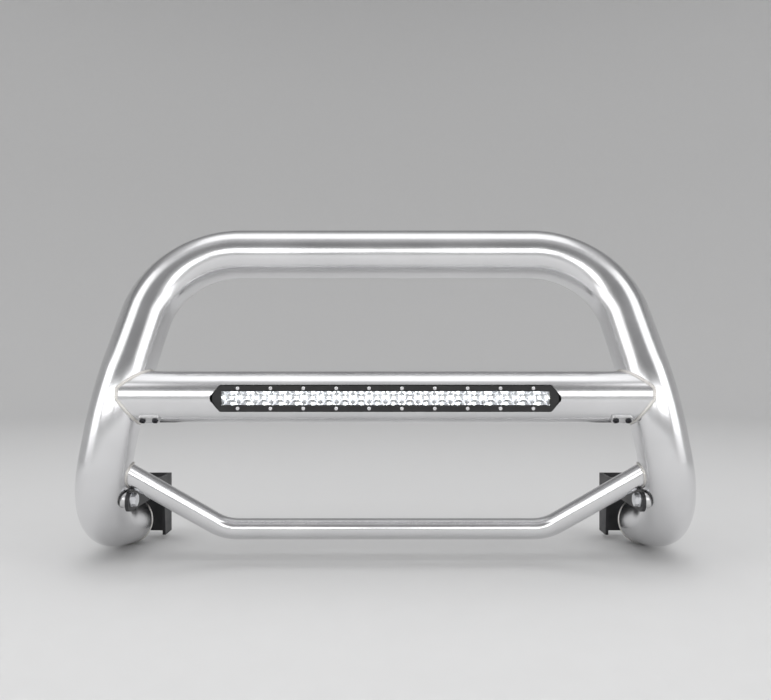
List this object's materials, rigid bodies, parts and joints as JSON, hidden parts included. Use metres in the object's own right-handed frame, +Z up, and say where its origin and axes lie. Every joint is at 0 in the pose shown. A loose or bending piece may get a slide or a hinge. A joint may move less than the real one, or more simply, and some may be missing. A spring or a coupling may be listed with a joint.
{
  "type": "front grille guard",
  "caption": "Polished stainless front grille guard for a light vehicle: bent hoop, crossbar with a built-in LED light bar, small lower tube, and bolt-on brackets for the frame rails.",
  "frame": {"origin": "centre of the four frame bolts, on the rear faces of the two brackets", "axes": "+Z up, -Y is the front of the guard, X across the vehicle"},
  "size_m": [0.9302, 0.2607, 0.5127],
  "materials": {
    "polished_stainless": "polished stainless steel tube, satin to mirror",
    "satin_stainless": "satin stainless steel",
    "weld": "brushed weld bead",
    "black_steel": "satin black powder coat",
    "zinc": "bright zinc plate",
    "black_screw": "black oxide",
    "stainless_screw": "stainless fastener",
    "black_aluminium": "black anodised",
    "bezel_black": "satin black paint",
    "clear_lens": "clear polycarbonate",
    "seal_rubber": "silicone rubber",
    "mirror_plastic": "metallised reflector",
    "board_white": "white solder mask",
    "emitter_yellow": "emitter with phosphor",
    "board_green": "green circuit board",
    "component_dark": "moulded components",
    "black_nylon": "black nylon"
  },
  "bodies": {
    "root": {"hoop_tube": "polished_stainless", "crossbar_tube": "polished_stainless", "lower_tube": "polished_stainless", "hoop_end_cap_left": "satin_stainless", "hoop_end_cap_right": "satin_stainless", "crossbar_weld_left": "weld", "crossbar_weld_right": "weld", "lower_weld_left": "weld", "lower_weld_right": "weld", "accessory_lug_left": "satin_stainless", "accessory_lug_right": "satin_stainless", "accessory_lug_screws": "black_screw", "frame_bracket_left": "black_steel", "frame_bracket_right": "black_steel", "bracket_bosses_left": "satin_stainless", "bracket_bosses_right": "satin_stainless", "bracket_bolts": "zinc", "bracket_washers": "zinc", "light_housing": "black_aluminium", "light_bezel": "bezel_black", "bezel_screws": "stainless_screw", "light_end_cap_left": "bezel_black", "light_end_cap_right": "bezel_black", "end_cap_screws": "black_screw", "light_lens": "clear_lens", "lens_seal": "seal_rubber", "reflector": "mirror_plastic", "led_board": "board_white", "led_emitters": "emitter_yellow", "driver_board": "board_green", "driver_parts": "component_dark", "light_spacers": "satin_stainless", "saddle_washers": "satin_stainless", "light_bolts": "zinc", "gland_body": "black_nylon", "gland_nut": "black_nylon", "cable_grommet": "seal_rubber", "breather_vent": "black_nylon"}
  },
  "joints": []
}
